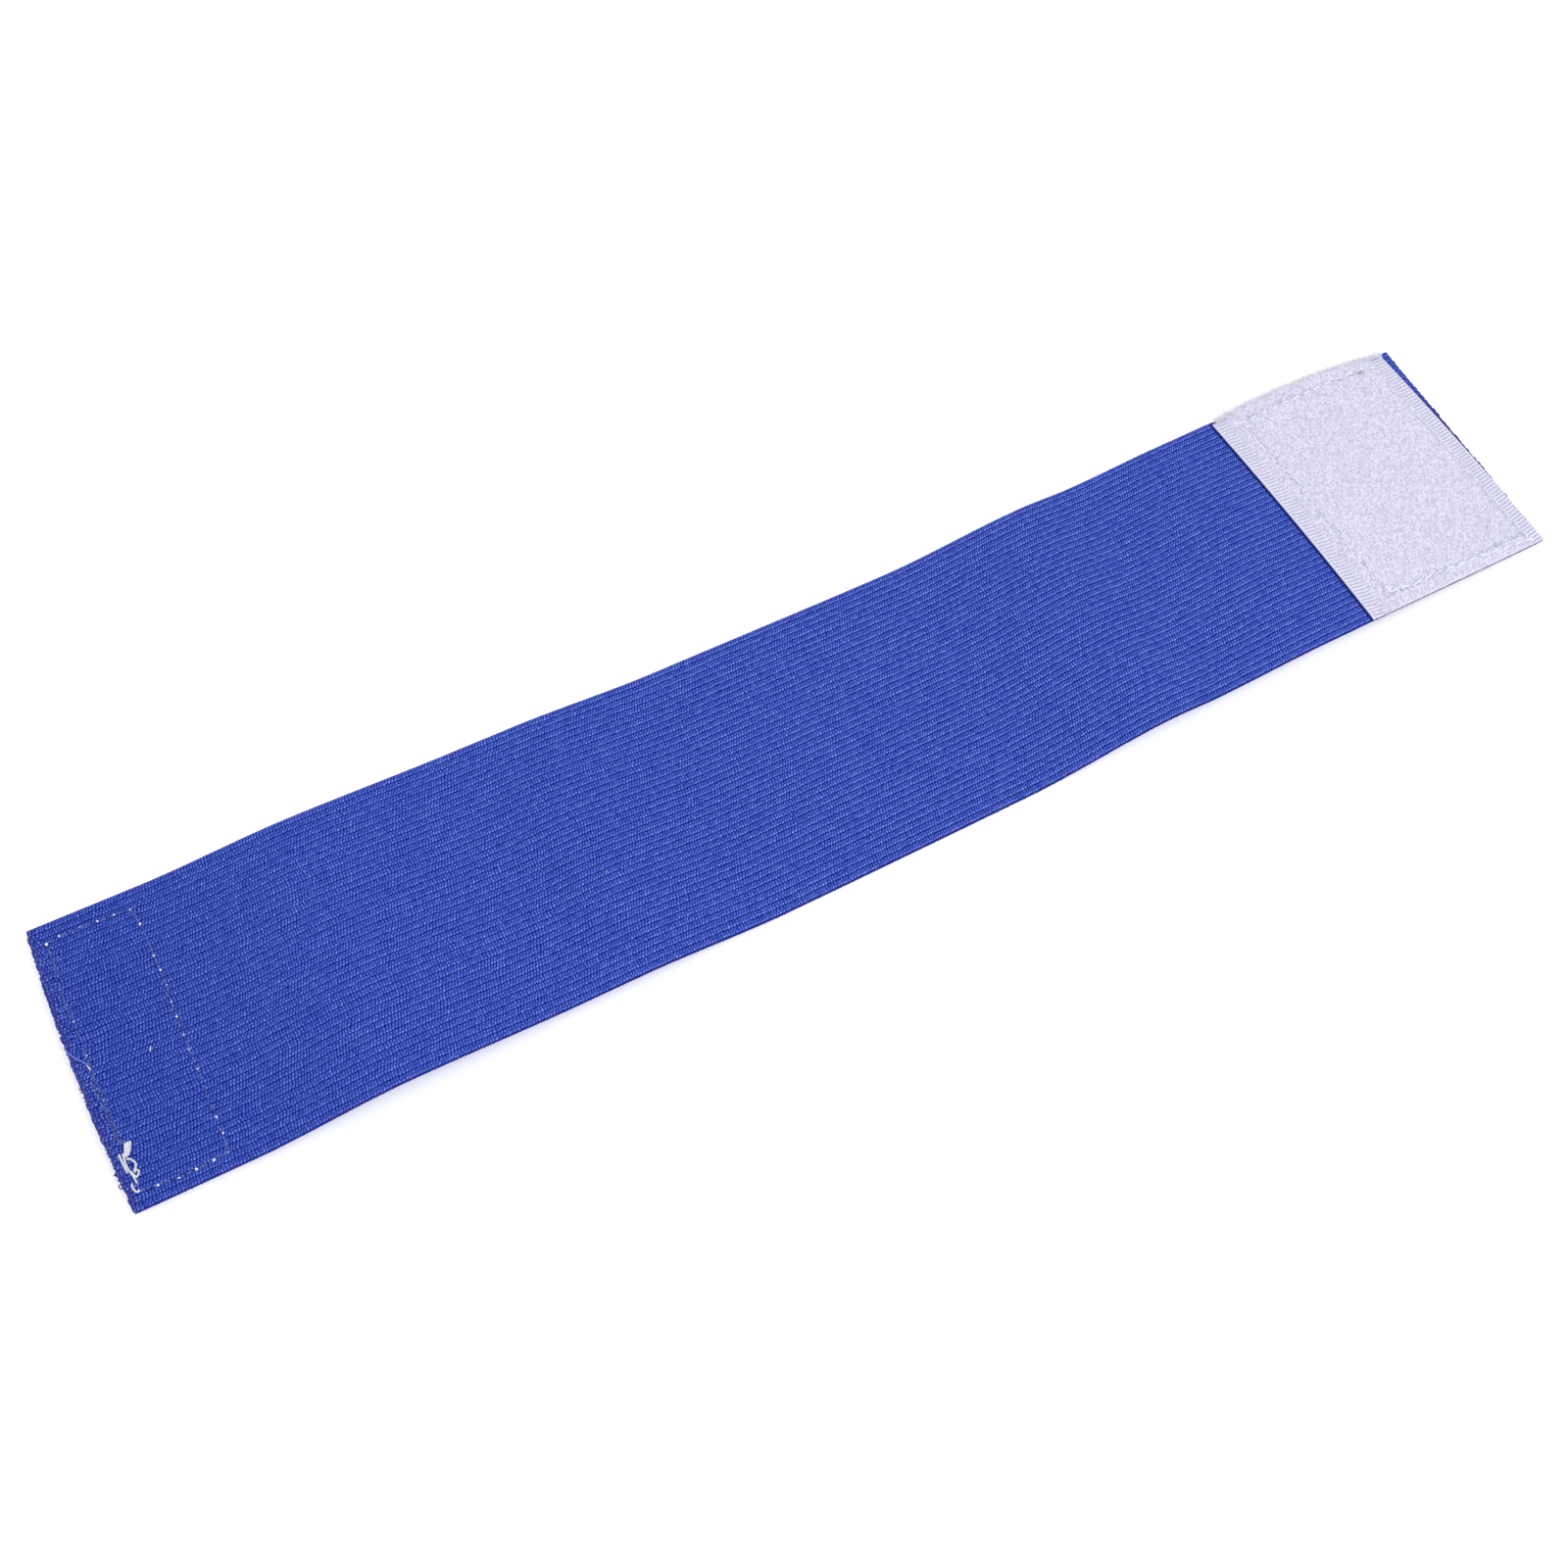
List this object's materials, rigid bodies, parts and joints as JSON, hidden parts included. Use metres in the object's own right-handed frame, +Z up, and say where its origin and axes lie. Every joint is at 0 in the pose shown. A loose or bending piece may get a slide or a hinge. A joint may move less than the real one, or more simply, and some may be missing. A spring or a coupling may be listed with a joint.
{
  "type": "captain armband",
  "caption": "Ribbed elastic armband lying flat in soft ripples, with a loop patch sewn on top of one end and a hook patch sewn under the other.",
  "frame": {"origin": "under the middle of the armband's box, on the table that it lies on", "axes": "+X along the band towards the loop patch, +Y across the band to its far edge, +Z up"},
  "size_m": [0.331, 0.0618, 0.0069],
  "materials": {
    "elastic": "blue ribbed woven elastic, matt with a slight sheen on the ribs",
    "hook_tape": "white woven nylon tape with small stiff hooks",
    "loop_tape": "white woven tape with brushed loop pile, slightly lilac",
    "thread": "spun sewing thread, white needle thread and dark blue bobbin thread"
  },
  "bodies": {
    "root": {"elastic_band": "elastic", "hook_patch": "hook_tape", "loop_patch": "loop_tape"}
  },
  "joints": []
}
